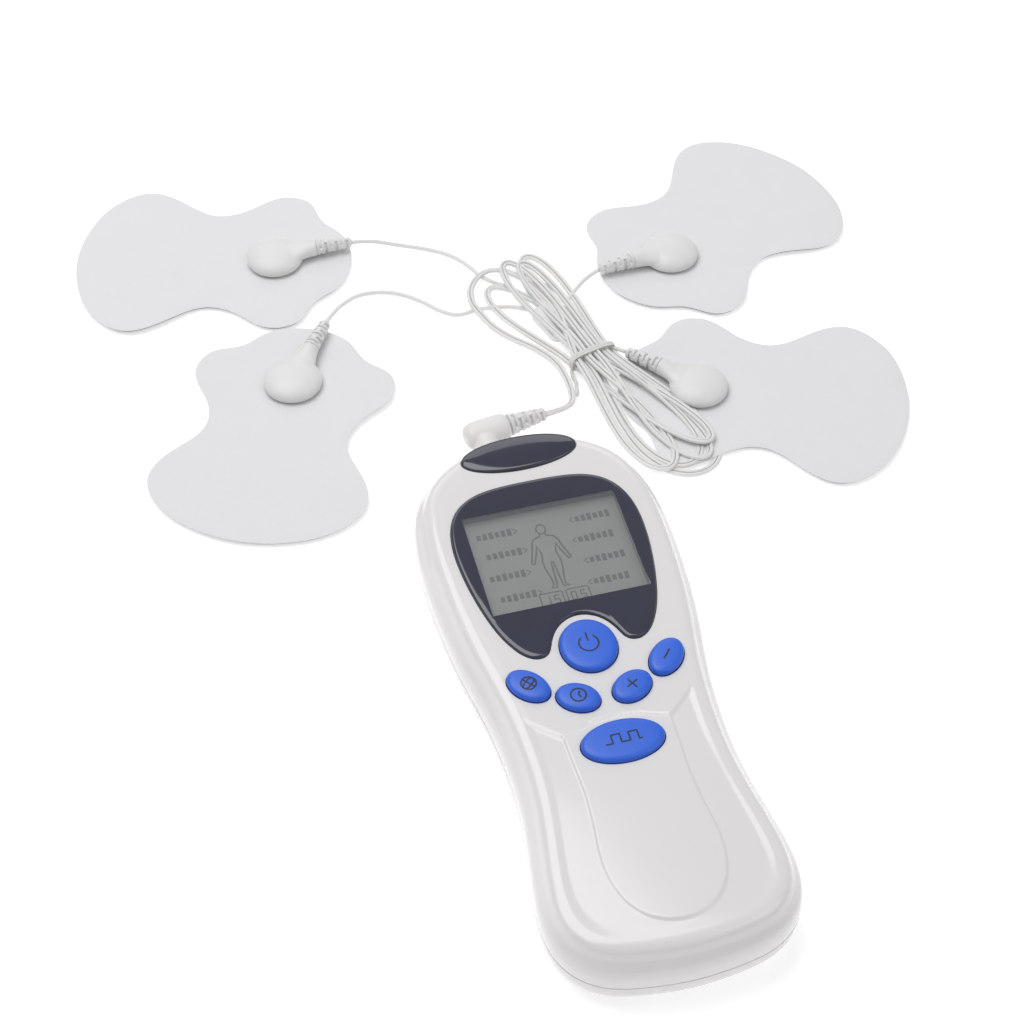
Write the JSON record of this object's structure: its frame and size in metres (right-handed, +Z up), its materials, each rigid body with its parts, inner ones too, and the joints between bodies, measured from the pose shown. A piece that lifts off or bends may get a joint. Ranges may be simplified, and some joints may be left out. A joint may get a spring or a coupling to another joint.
{
  "type": "tens unit",
  "caption": "Hand-held nerve stimulator with a display and blue keys, plugged into a bundled lead set with four butterfly electrode pads.",
  "frame": {"origin": "on the table under the middle of the handset's flat underside", "axes": "+Y along the handset to its output socket, +Z up out of the keys, +X to the right seen from above"},
  "size_m": [0.2373, 0.3128, 0.022],
  "materials": {
    "shell": "glossy white ABS",
    "window": "polished dark navy acrylic",
    "screen": "grey liquid crystal display",
    "button": "satin blue",
    "lead": "satin white PVC",
    "tie": "white coated wire",
    "pad": "white non-woven backing film",
    "gel": "translucent hydrogel on a liner",
    "metal": "nickel plated",
    "board": "green solder mask",
    "cell": "wrapped AAA cell",
    "dark_plastic": "black moulded"
  },
  "bodies": {
    "handset": {"back_shell": "shell", "front_shell": "shell", "display_window": "window", "top_lens": "window", "screen_glass": "screen", "screen_holder": "dark_plastic", "contact_strip": "dark_plastic", "circuit_board": "board", "tact_switches": "dark_plastic", "controller_chip": "dark_plastic", "pulse_transformer": "dark_plastic", "capacitors": "dark_plastic", "beeper": "dark_plastic", "output_socket": "dark_plastic", "battery_cells": "cell", "spring_contacts": "metal", "plate_contacts": "metal", "case_screws": "metal"},
    "battery_cover": {"battery_cover": "shell"},
    "power_button": {"power_button": "button"},
    "language_button": {"language_button": "button"},
    "time_button": {"time_button": "button"},
    "stronger_button": {"stronger_button": "button"},
    "weaker_button": {"weaker_button": "button"},
    "mode_button": {"mode_button": "button"},
    "lead_set": {"plug_body": "lead", "plug_pin": "metal", "main_lead": "lead", "lead_hank": "lead", "lead_splitter": "lead", "twist_tie": "tie", "snap_sockets": "metal", "branch_lead_1": "lead", "branch_lead_2": "lead", "branch_lead_3": "lead", "branch_lead_4": "lead", "connector_1": "lead", "connector_2": "lead", "connector_3": "lead", "connector_4": "lead"},
    "pad_1": {"pad_gel_1": "gel", "pad_backing_1": "pad", "snap_stud_1": "metal"},
    "pad_2": {"pad_gel_2": "gel", "pad_backing_2": "pad", "snap_stud_2": "metal"},
    "pad_3": {"pad_gel_3": "gel", "pad_backing_3": "pad", "snap_stud_3": "metal"},
    "pad_4": {"pad_gel_4": "gel", "pad_backing_4": "pad", "snap_stud_4": "metal"}
  },
  "joints": [
    {"name": "power_button_press", "type": "slide", "parent": "handset", "child": "power_button", "axis": [0, 0, -1], "range_m": [0, 0.0008], "stiffness_N_per_m": 400},
    {"name": "language_button_press", "type": "slide", "parent": "handset", "child": "language_button", "axis": [0, 0, -1], "range_m": [0, 0.0008], "stiffness_N_per_m": 400},
    {"name": "time_button_press", "type": "slide", "parent": "handset", "child": "time_button", "axis": [0, 0, -1], "range_m": [0, 0.0008], "stiffness_N_per_m": 400},
    {"name": "stronger_button_press", "type": "slide", "parent": "handset", "child": "stronger_button", "axis": [0, 0, -1], "range_m": [0, 0.0008], "stiffness_N_per_m": 400},
    {"name": "weaker_button_press", "type": "slide", "parent": "handset", "child": "weaker_button", "axis": [0, 0, -1], "range_m": [0, 0.0008], "stiffness_N_per_m": 400},
    {"name": "mode_button_press", "type": "slide", "parent": "handset", "child": "mode_button", "axis": [0, 0, -1], "range_m": [0, 0.0008], "stiffness_N_per_m": 400},
    {"name": "battery_cover_slide", "type": "slide", "parent": "handset", "child": "battery_cover", "axis": [0, -1, 0], "range_m": [0, 0.045]},
    {"name": "plug_pull", "type": "slide", "parent": "handset", "child": "lead_set", "axis": [0, 1, 0], "range_m": [0, 0.012]},
    {"name": "pad_1_swivel", "type": "hinge", "parent": "lead_set", "child": "pad_1", "pos_m": [-0.04725, 0.18731, 0.0015], "axis": [0, 0, 1], "range_deg": [-100, 16]},
    {"name": "pad_2_swivel", "type": "hinge", "parent": "lead_set", "child": "pad_2", "pos_m": [-0.05197, 0.13337, 0.0015], "axis": [0, 0, 1], "range_deg": [-26, 58]},
    {"name": "pad_3_swivel", "type": "hinge", "parent": "lead_set", "child": "pad_3", "pos_m": [0.07095, 0.1582, 0.0015], "axis": [0, 0, 1], "range_deg": [-8, 90]},
    {"name": "pad_4_swivel", "type": "hinge", "parent": "lead_set", "child": "pad_4", "pos_m": [0.0616, 0.10134, 0.0015], "axis": [0, 0, 1], "range_deg": [-60, 28]}
  ]
}
